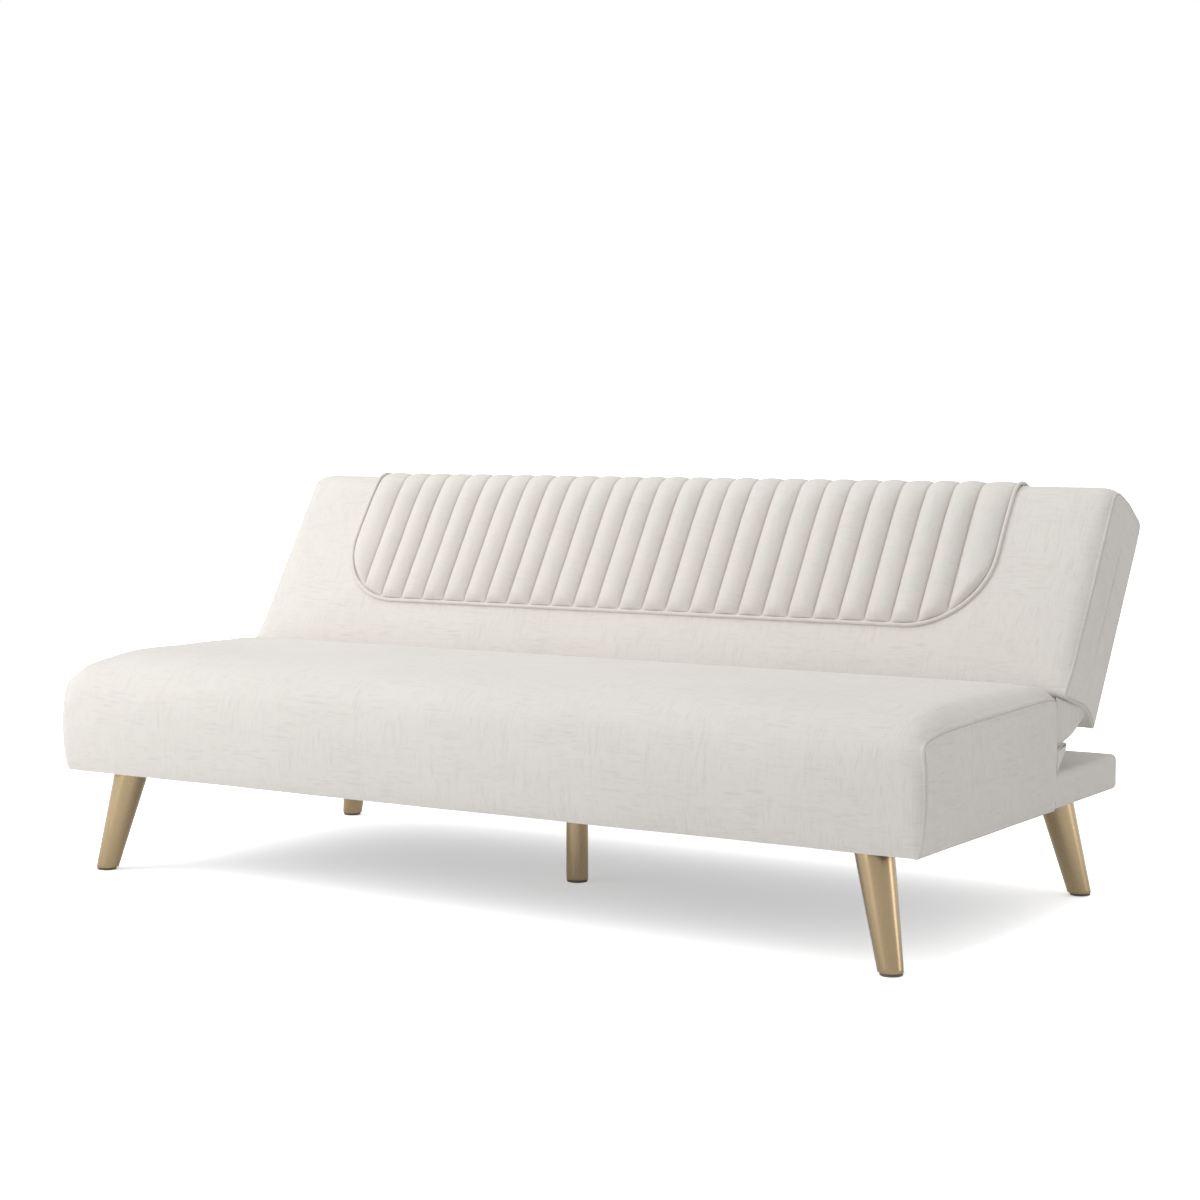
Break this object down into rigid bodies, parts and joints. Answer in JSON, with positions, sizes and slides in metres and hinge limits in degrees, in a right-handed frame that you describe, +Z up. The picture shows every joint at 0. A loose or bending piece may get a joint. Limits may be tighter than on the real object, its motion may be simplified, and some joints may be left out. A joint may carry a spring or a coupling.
{
  "type": "click clack sofa bed",
  "caption": "Armless sofa on splayed legs whose channel-tufted back folds down on ratchet hinges, over a low rear ledge, to lie level with the seat as a bed.",
  "frame": {"origin": "on the floor, under the middle of the overall box, with the back in its sitting position", "axes": "+X along the length towards the sitter's left hand, +Y from the seat's front to the back, +Z up"},
  "size_m": [1.8084, 0.9132, 0.7443],
  "materials": {
    "linen": "cream linen look upholstery cloth, fine basket weave with slubs",
    "foam": "open cell foam with a thin wadding",
    "timber": "sawn softwood and plywood, unfinished",
    "dust_cloth": "thin black non-woven cloth",
    "leg_metal": "satin champagne brass, brushed along the leg",
    "glide": "dark moulded plastic",
    "steel": "zinc plated pressed steel and spring wire",
    "webbing": "woven elastic strap"
  },
  "bodies": {
    "base": {"seat_cover": "linen", "ledge_cover": "linen", "gap_cover": "linen", "seat_foam": "foam", "front_rail": "timber", "seat_rear_rail": "timber", "ledge_rear_rail": "timber", "ledge_deck": "timber", "centre_stretcher": "timber", "side_rail_right": "timber", "side_rail_left": "timber", "end_board_right": "timber", "end_board_left": "timber", "dust_cover": "dust_cloth", "leg_front_right": "leg_metal", "leg_front_left": "leg_metal", "leg_rear_right": "leg_metal", "leg_rear_left": "leg_metal", "leg_centre": "leg_metal", "glide_front_right": "glide", "glide_front_left": "glide", "glide_rear_right": "glide", "glide_rear_left": "glide", "glide_centre": "glide", "leg_plate_front_right": "steel", "leg_plate_front_left": "steel", "leg_plate_rear_right": "steel", "leg_plate_rear_left": "steel", "leg_plate_centre": "steel", "seat_spring_right_1": "steel", "seat_spring_right_2": "steel", "seat_spring_right_3": "steel", "seat_spring_left_1": "steel", "seat_spring_left_2": "steel", "seat_spring_left_3": "steel", "hinge_fixed_arm_right": "steel", "hinge_fixed_arm_left": "steel", "hinge_pivot_right": "steel", "hinge_pivot_left": "steel", "pawl_pin_right": "steel", "pawl_pin_left": "steel", "pawl_spring_right": "steel", "pawl_spring_left": "steel"},
    "back": {"back_cover": "linen", "back_foam": "foam", "back_rear_panel": "linen", "channel_pad": "linen", "channel_piping": "linen", "back_bottom_rail": "timber", "back_top_rail": "timber", "back_post": "timber", "back_webbing": "webbing", "back_side_board_right": "timber", "back_side_board_left": "timber", "hinge_moving_arm_right": "steel", "hinge_moving_arm_left": "steel"},
    "pawl_right": {"ratchet_pawl_right": "steel"},
    "pawl_left": {"ratchet_pawl_left": "steel"}
  },
  "joints": [
    {"name": "back_recline", "type": "hinge", "parent": "base", "child": "back", "pos_m": [0, 0.14063, 0.38016], "axis": [-1, 0, 0], "range_deg": [-3, 56.5], "deforming": ["gap_cover"]},
    {"name": "pawl_right_drop", "type": "hinge", "parent": "base", "child": "pawl_right", "pos_m": [0.8514, 0.1407, 0.34096], "axis": [-1, 0, 0], "range_deg": [0, 9]},
    {"name": "pawl_left_drop", "type": "hinge", "parent": "base", "child": "pawl_left", "pos_m": [-0.8514, 0.1407, 0.34096], "axis": [-1, 0, 0], "range_deg": [0, 9]}
  ],
  "couplings": [
    {"joint": "pawl_left_drop", "follows": "pawl_right_drop", "ratio": 1}
  ]
}
